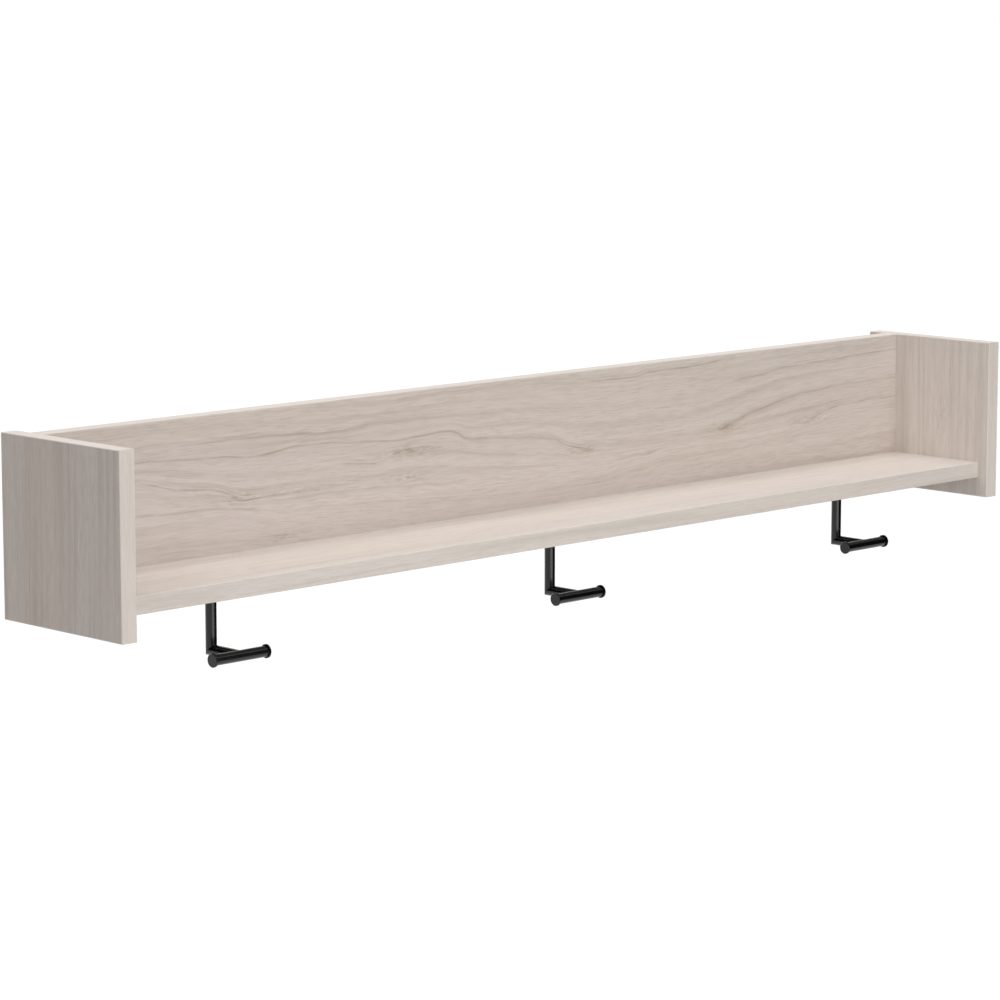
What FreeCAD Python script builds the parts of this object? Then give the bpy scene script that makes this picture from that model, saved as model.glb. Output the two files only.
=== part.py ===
import FreeCAD, Part
import os

import Sketcher

# Coat rack with a shelf, hung on a wall: two end panels, a back panel and a shelf of faced
# board, and three double-ended hooks of round black rod under the shelf.
#
# Lengths are in millimetres. X runs along the rack, +Y goes into the wall and +Z is up. The
# wall is the plane Y = 0, and the origin is the middle of the row of wall screws.

# Driving sizes: name, value, meaning
SIZES = [
    ("overall_width", 1165, "over the outer faces of the end panels"),
    ("overall_depth", 160, "from the wall to the front of the end panels"),
    ("overall_height", 162, "height of the end panels"),
    ("board_thickness", 16, "faced board of all four panels"),
    ("back_recess", 20, "from the wall to the rear of the back panel"),
    ("shelf_rise", 20, "from the bottom of the end panels to the underside of the shelf"),
    ("shelf_setback", 12, "from the front of the end panels to the front of the shelf"),
    ("band_thickness", 1, "edge band glued on each edge that shows"),
    ("band_edge_chamfer", 0.4, "long outer edges of a band"),
    ("dowel_diameter", 8, "glued dowel between an end panel and a board"),
    ("dowel_length", 30, "that dowel"),
    ("dowel_into_panel", 11, "depth of a dowel in the end panel"),
    ("dowel_offset", 32, "from the middle of a board's end to either dowel"),
    ("dowel_play", 0.1, "glue line all round a dowel"),
    ("rail_thickness", 16, "both hanging rails behind the back panel"),
    ("wall_rail_height", 50, "rear face of the rail that is screwed to the wall"),
    ("hanging_rail_height", 51, "rear face of the rail that hooks over the wall rail"),
    ("rail_drop", 12, "from the top of the back panel to the top of the hanging rail"),
    ("rail_end_gap", 66.5, "from an end panel to the end of a rail"),
    ("wall_screw_inset", 50, "from the end of the wall rail to its first screw hole"),
    ("wall_screw_count", 4, "screw holes in the wall rail"),
    ("wall_screw_hole", 5, "diameter of those holes"),
    ("wall_screw_head", 10, "diameter of their countersinks"),
    ("rail_screw_inset", 60, "from the end of the hanging rail to its first screw hole"),
    ("rail_screw_count", 3, "screw holes in the hanging rail"),
    ("shelf_screw_inset", 60, "from an end panel to the first screw hole behind the shelf"),
    ("shelf_screw_count", 3, "screw holes through the back panel into the shelf"),
    ("board_screw_hole", 4.2, "diameter of the holes in the hanging rail and back panel"),
    ("board_screw_head", 8, "diameter of their countersinks"),
    ("hook_from_end_panel", 146.5, "from an end panel to the axis of the nearest hook"),
    ("stem_from_wall", 80, "from the wall to the axis of a hook's stem"),
    ("rod_diameter", 10, "round rod of the hooks"),
    ("hook_drop", 57.5, "from the underside of the shelf to the axis of a hook's arm"),
    ("hook_reach", 38, "from the axis of the stem to the axis of the crossbar"),
    ("crossbar_length", 63, "over the caps at both ends"),
    ("cap_diameter", 12.5, "round cap on each end of the crossbar"),
    ("cap_thickness", 2, "that cap"),
    ("cap_edge_chamfer", 0.5, "outer rim of that cap"),
    ("plate_length", 58, "plate under the shelf that carries a hook, along the shelf"),
    ("plate_width", 20, "that plate, from front to rear"),
    ("plate_thickness", 3, "that plate"),
    ("plate_corner_radius", 4, "corners of that plate"),
    ("plate_screw_spacing", 40, "between the two screw holes of that plate"),
    ("plate_screw_hole", 4, "diameter of those holes"),
    ("weld_gap", 0.05, "room round the crossbar in the saddle before the weld"),
    ("cut_overrun", 1, "how far a cut runs past the solid"),
]

doc = FreeCAD.newDocument("CoatRack")
sheet = doc.addObject("Spreadsheet::Sheet", "Sizes")
for row, (name, amount, meaning) in enumerate(SIZES, start=1):
    sheet.set(f"A{row}", name)
    sheet.set(f"B{row}", str(amount))
    sheet.set(f"C{row}", meaning)
    sheet.setAlias(f"B{row}", name)
doc.recompute()

# Places worked out from the sizes. In each name, y is a distance from the wall.
half_inside = "(Sizes.overall_width / 2 - Sizes.board_thickness)"
rail_half = f"({half_inside} - Sizes.rail_end_gap)"
rail_seat = "(Sizes.wall_rail_height / 2 + Sizes.back_recess - Sizes.rail_thickness)"
panel_top = f"({rail_seat} + Sizes.hanging_rail_height + Sizes.rail_drop)"
panel_bottom = f"({panel_top} - Sizes.overall_height)"
shelf_bottom = f"({panel_bottom} + Sizes.shelf_rise)"
shelf_top = f"({shelf_bottom} + Sizes.board_thickness)"
shelf_middle = f"({shelf_bottom} + Sizes.board_thickness / 2)"
back_rear_y = "Sizes.back_recess"
back_front_y = "(Sizes.back_recess + Sizes.board_thickness)"
back_middle_y = "(Sizes.back_recess + Sizes.board_thickness / 2)"
shelf_front_y = "(Sizes.overall_depth - Sizes.shelf_setback)"
shelf_joint_y = f"(({back_front_y} + {shelf_front_y}) / 2)"
back_joint = f"(({shelf_bottom} + {panel_top}) / 2)"
hanging_rail_rear_y = "(Sizes.back_recess - Sizes.rail_thickness)"
rail_screw_height = (
    f"({rail_seat} + (Sizes.hanging_rail_height + Sizes.rail_thickness) / 2)"
)
rod_radius = "(Sizes.rod_diameter / 2)"
outer_hook_x = f"({half_inside} - Sizes.hook_from_end_panel)"

ENDS = [("left", -1), ("right", 1)]
HOOKS = [("left_hook", f"(-{outer_hook_x})"), ("centre_hook", "0"), ("right_hook", outer_hook_x)]

sub_parts = []


# Helpers for sketches and features


def amount_of(expression):
    return float(sheet.evalExpression(str(expression)))


def count_of(name):
    return int(amount_of(f"Sizes.{name}"))


def evenly_spaced(half_length, inset, count_name):
    """Expressions of places along X, the first and last one inset from the two ends."""
    steps = count_of(count_name) - 1
    return [
        f"(({half_length} - {inset}) * (2 * {step} / {steps} - 1))" for step in range(steps + 1)
    ]


def new_body(label, place=("0", "0", "0")):
    body = doc.addObject("PartDesign::Body", label)
    body.Label = label
    for axis, expression in zip("xyz", place):
        body.setExpression(f"Placement.Base.{axis}", expression)
    return body


def new_sub_part(label, place=("0", "0", "0")):
    body = new_body(label, place)
    sub_parts.append(body)
    return body


def origin_plane(body, role):
    return next(item for item in body.Origin.OriginFeatures if item.Role == role)


def new_sketch(body, name, role, lift="0"):
    """Sketch on an origin plane of the body, lifted along that plane's normal."""
    sketch = body.newObject("Sketcher::SketchObject", name)
    sketch.AttachmentSupport = (origin_plane(body, role), [""])
    sketch.MapMode = "FlatFace"
    sketch.setExpression("AttachmentOffset.Base.z", lift)
    return sketch


def bind(sketch, kind, where, expression):
    index = sketch.addConstraint(Sketcher.Constraint(kind, *where, amount_of(expression)))
    sketch.setExpression(f"Constraints[{index}]", expression)


def add_outline(sketch, points):
    """Closed outline of straight lines through points that are pairs of expressions."""
    corners = [FreeCAD.Vector(amount_of(x), amount_of(y), 0) for x, y in points]
    first = sketch.GeometryCount
    for start, end in zip(corners, corners[1:] + corners[:1]):
        sketch.addGeometry(Part.LineSegment(start, end))
    for index, (x, y) in enumerate(points):
        following = (index + 1) % len(points)
        sketch.addConstraint(
            Sketcher.Constraint("Coincident", first + index, 2, first + following, 1)
        )
        bind(sketch, "DistanceX", (-1, 1, first + index, 1), x)
        bind(sketch, "DistanceY", (-1, 1, first + index, 1), y)


def add_rectangle(sketch, left, bottom, right, top):
    add_outline(sketch, [(left, bottom), (right, bottom), (right, top), (left, top)])


def add_circle(sketch, x, y, radius):
    centre = FreeCAD.Vector(amount_of(x), amount_of(y), 0)
    index = sketch.addGeometry(
        Part.Circle(centre, FreeCAD.Vector(0, 0, 1), amount_of(radius))
    )
    bind(sketch, "DistanceX", (-1, 1, index, 3), x)
    bind(sketch, "DistanceY", (-1, 1, index, 3), y)
    bind(sketch, "Radius", (index,), radius)


def extrude(kind, body, sketch, name, length, backwards=False, symmetric=False):
    """Pad or pocket. A pad follows the sketch's normal and a pocket goes against it."""
    feature = body.newObject(f"PartDesign::{kind}", name)
    feature.Profile = sketch
    feature.SideType = "Symmetric" if symmetric else "One side"
    feature.Reversed = backwards
    feature.setExpression("Length", length)
    sketch.Visibility = False
    return feature


def pad(body, sketch, name, length, **way):
    return extrude("Pad", body, sketch, name, length, **way)


def pocket(body, sketch, name, length, **way):
    return extrude("Pocket", body, sketch, name, length, **way)


def dress(kind, body, name, wanted, size):
    """Fillet or chamfer on the edges that the test picks."""
    doc.recompute()
    base = body.Tip
    names = [f"Edge{n}" for n, edge in enumerate(base.Shape.Edges, start=1) if wanted(edge)]
    if not names:
        raise RuntimeError(f"{body.Label}: {name} finds no edge")
    feature = body.newObject(f"PartDesign::{kind}", name)
    feature.Base = (base, names)
    feature.setExpression("Radius" if kind == "Fillet" else "Size", size)
    return feature


def same(first, second):
    return abs(first - second) < Part.Precision.confusion()


def circle_at(edge, radius, axis, level):
    """Whether an edge is a full circle of that radius, square to that axis, at that level."""
    curve = edge.Curve
    return (
        isinstance(curve, Part.Circle)
        and same(curve.Radius, amount_of(radius))
        and same(abs(getattr(curve.Axis, axis)), 1)
        and same(getattr(curve.Center, axis), amount_of(level))
    )


def along(edge, axis):
    """Whether an edge is straight and runs along that axis."""
    if not isinstance(edge.Curve, Part.Line):
        return False
    direction = edge.Vertexes[-1].Point.sub(edge.Vertexes[0].Point).normalize()
    return same(abs(getattr(direction, axis)), 1)


def screw_row(body, name, places, height, rear_y, thickness, hole, head, countersunk_y):
    """Row of countersunk holes from the rear to the front of a board or rail."""
    radius = f"({hole} / 2)"
    sketch = new_sketch(body, f"{name}_places", "XZ_Plane", rear_y)
    for x in places:
        add_circle(sketch, x, height, radius)
    pocket(body, sketch, f"{name}_holes", f"{thickness} + Sizes.cut_overrun", backwards=True)
    dress(
        "Chamfer",
        body,
        f"{name}_countersinks",
        lambda edge: circle_at(edge, radius, "y", f"-{countersunk_y}"),
        f"(({head} - {hole}) / 2)",
    )


# Boards


# Dowel places as Y and Z, two in each end of the shelf and of the back panel
shelf_dowels = [(f"(-{shelf_joint_y} {sign} Sizes.dowel_offset)", shelf_middle) for sign in "-+"]
back_dowels = [
    (f"(-{back_middle_y})", f"({back_joint} {sign} Sizes.dowel_offset)") for sign in "-+"
]
dowel_into_board = "(Sizes.dowel_length - Sizes.dowel_into_panel)"


def dowel_holes(body, name, places, lift, depth, backwards):
    """Blind holes along X for dowels."""
    sketch = new_sketch(body, f"{name}_places", "YZ_Plane", lift)
    for y, z in places:
        add_circle(sketch, y, z, "Sizes.dowel_diameter / 2 + Sizes.dowel_play")
    return pocket(body, sketch, name, f"{depth} + Sizes.dowel_play", backwards=backwards)


def end_panel(side, outward):
    """End panel, drilled in its inner face, which is the plane X = 0 of its own frame."""
    body = new_sub_part(f"{side}_end_panel", (f"{outward} * {half_inside}", "0", "0"))
    outline = new_sketch(body, f"{side}_panel_outline", "YZ_Plane")
    add_rectangle(
        outline,
        "-(Sizes.overall_depth - Sizes.band_thickness)",
        f"{panel_bottom} + Sizes.band_thickness",
        "0",
        f"{panel_top} - Sizes.band_thickness",
    )
    pad(body, outline, f"{side}_panel_board", "Sizes.board_thickness", backwards=outward < 0)
    places = shelf_dowels + back_dowels
    name = f"{side}_panel_dowel_holes"
    dowel_holes(body, name, places, "0", "Sizes.dowel_into_panel", outward > 0)


def drill_both_ends(body, prefix, places):
    """Dowel holes in the right end of a board, and their mirror image in the left end."""
    holes = dowel_holes(body, f"{prefix}_dowel_holes", places, half_inside, dowel_into_board, False)
    doc.recompute()
    mirrored = body.newObject("PartDesign::Mirrored", f"{prefix}_left_dowel_holes")
    mirrored.Originals = [holes]
    mirrored.MirrorPlane = (origin_plane(body, "YZ_Plane"), [""])
    body.Tip = mirrored


def shelf_board():
    body = new_sub_part("shelf_board")
    outline = new_sketch(body, "shelf_outline", "YZ_Plane")
    add_rectangle(
        outline,
        f"-({shelf_front_y} - Sizes.band_thickness)",
        shelf_bottom,
        f"-{back_front_y}",
        shelf_top,
    )
    pad(body, outline, "shelf_length", f"2 * {half_inside}", symmetric=True)
    drill_both_ends(body, "shelf", shelf_dowels)


def back_panel():
    """Back panel, with screw holes that open behind the rear edge of the shelf."""
    body = new_sub_part("back_panel")
    outline = new_sketch(body, "back_outline", "YZ_Plane")
    add_rectangle(
        outline,
        f"-{back_front_y}",
        f"{shelf_bottom} + Sizes.band_thickness",
        f"-{back_rear_y}",
        f"{panel_top} - Sizes.band_thickness",
    )
    pad(body, outline, "back_length", f"2 * {half_inside}", symmetric=True)
    drill_both_ends(body, "back", back_dowels)
    screw_row(
        body,
        "shelf_screw",
        evenly_spaced(half_inside, "Sizes.shelf_screw_inset", "shelf_screw_count"),
        shelf_middle,
        back_rear_y,
        "Sizes.board_thickness",
        "Sizes.board_screw_hole",
        "Sizes.board_screw_head",
        back_rear_y,
    )


def end_dowels():
    """Equal dowels along X, all in one sub-part."""
    pattern = new_body("dowel_pattern")
    section = new_sketch(pattern, "dowel_section", "YZ_Plane")
    add_circle(section, "0", "0", "Sizes.dowel_diameter / 2")
    pad(pattern, section, "dowel_rod", "Sizes.dowel_length")
    starts = [f"-({half_inside} + Sizes.dowel_into_panel)", f"{half_inside} - {dowel_into_board}"]
    group = doc.addObject("Part::Compound", "end_dowels")
    links = []
    for x in starts:
        for y, z in shelf_dowels + back_dowels:
            link = doc.addObject("App::Link", f"dowel_{len(links) + 1}")
            link.LinkedObject = pattern
            for axis, expression in zip("xyz", (x, y, z)):
                link.setExpression(f"Placement.Base.{axis}", expression)
            links.append(link)
    group.Links = links
    sub_parts.append(group)


# Edge bands


def band(label, role, corners, length, edge_axis, outer_axis, outer_level, **way):
    """Strip with the long edges of its outer face chamfered."""
    place = way.pop("place", ("0", "0", "0"))
    lift = way.pop("lift", "0")
    body = new_sub_part(label, place)
    section = new_sketch(body, f"{label}_section", role, lift)
    add_rectangle(section, *corners)
    pad(body, section, f"{label}_strip", length, **way)
    level = amount_of(outer_level)
    dress(
        "Chamfer",
        body,
        f"{label}_edges",
        lambda edge: along(edge, edge_axis)
        and same(getattr(edge.Vertexes[0].Point, outer_axis), level),
        "Sizes.band_edge_chamfer",
    )


def end_panel_bands(side, outward):
    place = (f"{outward} * {half_inside}", "0", "0")
    left, right = ("0", "Sizes.board_thickness") if outward > 0 else ("-Sizes.board_thickness", "0")
    front = "(-Sizes.overall_depth)"
    band(
        f"{side}_end_front_band",
        "XY_Plane",
        (left, front, right, f"{front} + Sizes.band_thickness"),
        "Sizes.overall_height",
        "z",
        "y",
        front,
        place=place,
        lift=panel_bottom,
    )
    strips = [
        ("top", f"{panel_top} - Sizes.band_thickness", panel_top, panel_top),
        ("bottom", panel_bottom, f"{panel_bottom} + Sizes.band_thickness", panel_bottom),
    ]
    for name, low, high, outer_level in strips:
        band(
            f"{side}_end_{name}_band",
            "XZ_Plane",
            (left, low, right, high),
            "Sizes.overall_depth - Sizes.band_thickness",
            "y",
            "z",
            outer_level,
            place=place,
        )


def long_bands():
    """Bands that run between the end panels."""
    strips = [
        (
            "shelf_front_band",
            (f"-{shelf_front_y}", shelf_bottom, f"-({shelf_front_y} - Sizes.band_thickness)", shelf_top),
            "y",
            f"-{shelf_front_y}",
        ),
        (
            "back_top_band",
            (f"-{back_front_y}", f"{panel_top} - Sizes.band_thickness", f"-{back_rear_y}", panel_top),
            "z",
            panel_top,
        ),
        (
            "back_bottom_band",
            (f"-{back_front_y}", shelf_bottom, f"-{back_rear_y}", f"{shelf_bottom} + Sizes.band_thickness"),
            "z",
            shelf_bottom,
        ),
    ]
    for label, corners, outer_axis, outer_level in strips:
        band(
            label,
            "YZ_Plane",
            corners,
            f"2 * {half_inside}",
            "x",
            outer_axis,
            outer_level,
            symmetric=True,
        )


# Hanging rails


def wall_rail():
    """Rail on the wall. Its top is bevelled at 45 degrees and falls towards the wall."""
    body = new_sub_part("wall_rail")
    section = new_sketch(body, "wall_rail_section", "YZ_Plane")
    half_height = "Sizes.wall_rail_height / 2"
    add_outline(
        section,
        [
            ("0", f"-{half_height}"),
            ("0", half_height),
            ("-Sizes.rail_thickness", f"{half_height} + Sizes.rail_thickness"),
            ("-Sizes.rail_thickness", f"-{half_height}"),
        ],
    )
    pad(body, section, "wall_rail_length", f"2 * {rail_half}", symmetric=True)
    screw_row(
        body,
        "wall_screw",
        evenly_spaced(rail_half, "Sizes.wall_screw_inset", "wall_screw_count"),
        "0",
        "0",
        "Sizes.rail_thickness",
        "Sizes.wall_screw_hole",
        "Sizes.wall_screw_head",
        "Sizes.rail_thickness",
    )


def hanging_rail():
    """Rail on the back panel. Its bevelled underside lies on the bevel of the wall rail."""
    body = new_sub_part("hanging_rail")
    section = new_sketch(body, "hanging_rail_section", "YZ_Plane")
    add_outline(
        section,
        [
            (f"-{hanging_rail_rear_y}", rail_seat),
            (f"-{hanging_rail_rear_y}", f"{rail_seat} + Sizes.hanging_rail_height"),
            (f"-{back_rear_y}", f"{rail_seat} + Sizes.hanging_rail_height"),
            (f"-{back_rear_y}", f"{rail_seat} + Sizes.rail_thickness"),
        ],
    )
    pad(body, section, "hanging_rail_length", f"2 * {rail_half}", symmetric=True)
    screw_row(
        body,
        "rail_screw",
        evenly_spaced(rail_half, "Sizes.rail_screw_inset", "rail_screw_count"),
        rail_screw_height,
        hanging_rail_rear_y,
        "Sizes.rail_thickness",
        "Sizes.board_screw_hole",
        "Sizes.board_screw_head",
        hanging_rail_rear_y,
    )


# Hooks. In the frame of a hook, Z = 0 is the underside of the shelf, the stem runs down the
# Z axis and the arm goes forward from it.

hook_place_y = "-Sizes.stem_from_wall"
arm_axis = "(-Sizes.hook_drop)"
mitre_reach = f"({rod_radius} + Sizes.cut_overrun)"


def add_mitre_cut(sketch, stem_side):
    """Triangle on one side of the 45 degree plane through the corner of stem and arm."""
    high = f"{arm_axis} + {mitre_reach}"
    low = f"{arm_axis} - {mitre_reach}"
    waste_corner = (mitre_reach, high) if stem_side else (f"-{mitre_reach}", low)
    add_outline(sketch, [(mitre_reach, low), (f"-{mitre_reach}", high), waste_corner])


def hook_plate(name, x):
    body = new_sub_part(f"{name}_plate", (x, hook_place_y, shelf_bottom))
    outline = new_sketch(body, f"{name}_plate_outline", "XY_Plane")
    half_length = "(Sizes.plate_length / 2)"
    half_width = "(Sizes.plate_width / 2)"
    add_rectangle(outline, f"-{half_length}", f"-{half_width}", half_length, half_width)
    pad(body, outline, f"{name}_plate_flat", "Sizes.plate_thickness", backwards=True)
    dress(
        "Fillet",
        body,
        f"{name}_plate_corners",
        lambda edge: along(edge, "z"),
        "Sizes.plate_corner_radius",
    )
    holes = new_sketch(body, f"{name}_plate_screw_places", "XY_Plane")
    for sign in "-+":
        add_circle(holes, f"{sign}Sizes.plate_screw_spacing / 2", "0", "Sizes.plate_screw_hole / 2")
    pocket(body, holes, f"{name}_plate_holes", "Sizes.plate_thickness + Sizes.cut_overrun")


def hook_stem(name, x):
    """Upright rod, welded to the underside of the plate and mitred at its foot."""
    body = new_sub_part(f"{name}_stem", (x, hook_place_y, shelf_bottom))
    section = new_sketch(body, f"{name}_stem_section", "XY_Plane", "-Sizes.plate_thickness")
    add_circle(section, "0", "0", rod_radius)
    length = f"Sizes.hook_drop + {rod_radius} - Sizes.plate_thickness"
    pad(body, section, f"{name}_stem_rod", length, backwards=True)
    mitre = new_sketch(body, f"{name}_stem_mitre_side", "YZ_Plane")
    add_mitre_cut(mitre, stem_side=False)
    pocket(body, mitre, f"{name}_stem_mitre", f"2 * {mitre_reach}", symmetric=True)


def hook_arm(name, x):
    """Forward rod, mitred at the stem and hollowed at its tip to saddle the crossbar."""
    body = new_sub_part(f"{name}_arm", (x, hook_place_y, shelf_bottom))
    section = new_sketch(body, f"{name}_arm_section", "XZ_Plane", f"-{rod_radius}")
    add_circle(section, "0", arm_axis, rod_radius)
    pad(body, section, f"{name}_arm_rod", f"Sizes.hook_reach + {rod_radius}")
    mitre = new_sketch(body, f"{name}_arm_mitre_side", "YZ_Plane")
    add_mitre_cut(mitre, stem_side=True)
    pocket(body, mitre, f"{name}_arm_mitre", f"2 * {mitre_reach}", symmetric=True)
    saddle = new_sketch(body, f"{name}_arm_saddle_side", "YZ_Plane")
    add_circle(saddle, "-Sizes.hook_reach", arm_axis, f"{rod_radius} + Sizes.weld_gap")
    pocket(body, saddle, f"{name}_arm_saddle", f"2 * {mitre_reach}", symmetric=True)


crossbar_y = "-(Sizes.stem_from_wall + Sizes.hook_reach)"
crossbar_z = f"({shelf_bottom} - Sizes.hook_drop)"
crossbar_half = "(Sizes.crossbar_length / 2 - Sizes.cap_thickness)"


def hook_crossbar(name, x):
    body = new_sub_part(f"{name}_crossbar", (x, crossbar_y, crossbar_z))
    section = new_sketch(body, f"{name}_crossbar_section", "YZ_Plane")
    add_circle(section, "0", "0", rod_radius)
    pad(body, section, f"{name}_crossbar_rod", f"2 * {crossbar_half}", symmetric=True)


def end_cap(name, x, side, outward):
    """Round cap welded on the end of the crossbar, wider than the rod."""
    label = f"{name}_{side}_cap"
    body = new_sub_part(label, (f"{x} + {outward} * {crossbar_half}", crossbar_y, crossbar_z))
    section = new_sketch(body, f"{label}_section", "YZ_Plane")
    radius = "(Sizes.cap_diameter / 2)"
    add_circle(section, "0", "0", radius)
    pad(body, section, f"{label}_disc", "Sizes.cap_thickness", backwards=outward < 0)
    dress(
        "Chamfer",
        body,
        f"{label}_rim",
        lambda edge: circle_at(edge, radius, "x", f"{outward} * Sizes.cap_thickness"),
        "Sizes.cap_edge_chamfer",
    )


for end, outward_sign in ENDS:
    end_panel(end, outward_sign)
    end_panel_bands(end, outward_sign)
back_panel()
shelf_board()
end_dowels()
long_bands()
wall_rail()
hanging_rail()
for hook_name, hook_x_place in HOOKS:
    hook_plate(hook_name, hook_x_place)
    hook_stem(hook_name, hook_x_place)
    hook_arm(hook_name, hook_x_place)
    hook_crossbar(hook_name, hook_x_place)
    for end, outward_sign in ENDS:
        end_cap(hook_name, hook_x_place, end, outward_sign)
doc.recompute()

# Nothing is written unless every object is sound and every cut takes something away.
CUTS = ("PartDesign::Pocket", "PartDesign::Chamfer", "PartDesign::Fillet", "PartDesign::Mirrored")
faults = [item.Name for item in doc.Objects if {"Invalid", "Error"} & set(item.State)]
for item in sub_parts:
    if item.Shape.isNull() or not item.Shape.isValid():
        faults.append(item.Label)
for item in doc.Objects:
    if item.TypeId in CUTS and item.Shape.Volume >= item.BaseFeature.Shape.Volume:
        faults.append(f"{item.Name} cuts nothing")
if faults:
    raise RuntimeError("faulty: " + ", ".join(faults))

os.makedirs("parts", exist_ok=True)
for item in sub_parts:
    item.Shape.exportStep(f"parts/{item.Label}.step")
print(f"{len(sub_parts)} sub-parts, {sum(len(item.Shape.Solids) for item in sub_parts)} solids")
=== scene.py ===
import math

import bmesh
import bpy
from mathutils import Matrix, Vector


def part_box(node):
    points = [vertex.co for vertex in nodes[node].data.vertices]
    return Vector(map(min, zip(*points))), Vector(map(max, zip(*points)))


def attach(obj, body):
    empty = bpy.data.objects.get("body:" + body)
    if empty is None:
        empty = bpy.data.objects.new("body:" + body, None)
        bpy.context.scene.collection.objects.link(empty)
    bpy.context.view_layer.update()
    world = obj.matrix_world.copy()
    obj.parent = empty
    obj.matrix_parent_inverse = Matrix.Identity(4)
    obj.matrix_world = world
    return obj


# Looks of a coat rack with a shelf: the finishes of the CAD nodes, the screws and welds, and the
# studio with its camera. Lengths are in metres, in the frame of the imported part: X along the rack,
# +Y into the wall, +Z up.

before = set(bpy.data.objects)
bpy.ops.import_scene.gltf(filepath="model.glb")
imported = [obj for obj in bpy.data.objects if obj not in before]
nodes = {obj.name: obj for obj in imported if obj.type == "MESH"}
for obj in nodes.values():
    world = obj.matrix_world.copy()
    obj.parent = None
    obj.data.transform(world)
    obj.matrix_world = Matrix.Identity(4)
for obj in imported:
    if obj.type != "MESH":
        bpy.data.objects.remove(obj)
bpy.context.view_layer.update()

MM = 0.001

# ---------------------------------------------------------------- node helpers

# Sockets of a Mix node that mixes colours
MIX_FACTOR, MIX_FIRST, MIX_SECOND, MIX_RESULT = 0, 6, 7, 2


class Tree:
    """Short names for making nodes in one node tree."""

    def __init__(self, tree):
        self.tree = tree

    def node(self, kind, inputs=None, **settings):
        made = self.tree.nodes.new(kind)
        for name, value in settings.items():
            setattr(made, name, value)
        for name, value in (inputs or {}).items():
            self.feed(made.inputs[name], value)
        return made

    def feed(self, socket, value):
        """Link the socket to another one, or set its value."""
        if isinstance(value, bpy.types.NodeSocket):
            self.tree.links.new(value, socket)
        else:
            socket.default_value = value

    def math(self, operation, *values, clamp=False):
        made = self.node("ShaderNodeMath", operation=operation, use_clamp=clamp)
        for socket, value in zip(made.inputs, values):
            self.feed(socket, value)
        return made.outputs[0]

    def add(self, *values):
        total = values[0]
        for value in values[1:]:
            total = self.math("ADD", total, value)
        return total

    def take(self, first, second):
        return self.math("SUBTRACT", first, second)

    def mul(self, first, second):
        return self.math("MULTIPLY", first, second)

    def bell(self, value):
        """Bell curve: 1 where the value is 0, and near 0 from 2 on."""
        return self.math("EXPONENT", self.mul(self.mul(value, value), -1.0))

    def span(self, value, low, high, to_low=0.0, to_high=1.0, smooth=False):
        """Value from low..high to to_low..to_high, held at the ends."""
        made = self.node("ShaderNodeMapRange", interpolation_type="SMOOTHSTEP" if smooth else "LINEAR")
        names = ("Value", "From Min", "From Max", "To Min", "To Max")
        for name, amount in zip(names, (value, low, high, to_low, to_high)):
            self.feed(made.inputs[name], amount)
        return made.outputs["Result"]

    def vector(self, x, y, z):
        return self.node("ShaderNodeCombineXYZ", {"X": x, "Y": y, "Z": z}).outputs[0]

    def scaled(self, parts, scales, seed=0.0):
        """Vector of parts times scales, moved along its third axis by the seed."""
        x, y, z = (self.mul(part, scale) for part, scale in zip(parts, scales))
        return self.vector(x, y, self.add(z, seed))

    def noise(self, vector, detail=2.0, roughness=0.5):
        inputs = {"Vector": vector, "Scale": 1.0, "Detail": detail, "Roughness": roughness}
        return self.node("ShaderNodeTexNoise", inputs).outputs["Fac"]

    def curve(self, value, points):
        """Smooth curve through points whose two numbers are both between 0 and 1."""
        made = self.node("ShaderNodeFloatCurve", {"Value": value})
        line = made.mapping.curves[0]
        while len(line.points) > 2:
            line.points.remove(line.points[-1])
        for index, (x, y) in enumerate(points):
            point = line.points[index] if index < 2 else line.points.new(x, y)
            point.location = (x, y)
            point.handle_type = "AUTO_CLAMPED"
        made.mapping.update()
        return made.outputs[0]

    def mix(self, factor, first, second):
        """Colour from the first one, at factor 0, to the second one, at 1."""
        made = self.node("ShaderNodeMix", data_type="RGBA")
        for index, value in ((MIX_FACTOR, factor), (MIX_FIRST, first), (MIX_SECOND, second)):
            self.feed(made.inputs[index], value)
        return made.outputs[MIX_RESULT]

    def mix_shader(self, factor, first, second):
        made = self.node("ShaderNodeMixShader", {"Fac": factor})
        self.feed(made.inputs[1], first)
        self.feed(made.inputs[2], second)
        return made.outputs[0]


def new_material(name):
    material = bpy.data.materials.new(name)
    material.use_nodes = True
    material.node_tree.nodes.clear()
    return material, Tree(material.node_tree)


def finish_material(tree, height, distance, strength, **inputs):
    """Principled surface, with a bump of that height over a distance in metres."""
    bump = tree.node("ShaderNodeBump", {"Height": height, "Distance": distance, "Strength": strength})
    named = {name.replace("_", " "): value for name, value in inputs.items()}
    surface = tree.node("ShaderNodeBsdfPrincipled", {**named, "Normal": bump.outputs[0]})
    tree.node("ShaderNodeOutputMaterial", {"Surface": surface.outputs[0]})


def place(tree):
    """Place in the object's own frame, as X, Y and Z sockets."""
    spot = tree.node("ShaderNodeTexCoord").outputs["Object"]
    split = tree.node("ShaderNodeSeparateXYZ", {"Vector": spot})
    return [split.outputs[axis] for axis in "XYZ"]


def rgb(red, green, blue):
    return (red, green, blue, 1.0)


def grey(tone):
    return rgb(tone, tone, tone)


# ---------------------------------------------------------------- wood decor

DECOR = rgb(0.66, 0.585, 0.53)
DECOR_WARM = rgb(0.645, 0.56, 0.49)
DECOR_COOL = rgb(0.632, 0.563, 0.545)
# Dark colour of grain lines and tonal stripes, and of the painted shade at the rear of the right end panel
DECOR_LINE_AND_SHADE = rgb(0.40, 0.33, 0.275)
DECOR_PALE = rgb(0.72, 0.655, 0.60)
DECOR_LIFTED = rgb(0.86, 0.81, 0.75)
MARK_LINE = rgb(0.345, 0.28, 0.23)
MARK_KNOT = rgb(0.34, 0.27, 0.20)

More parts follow.
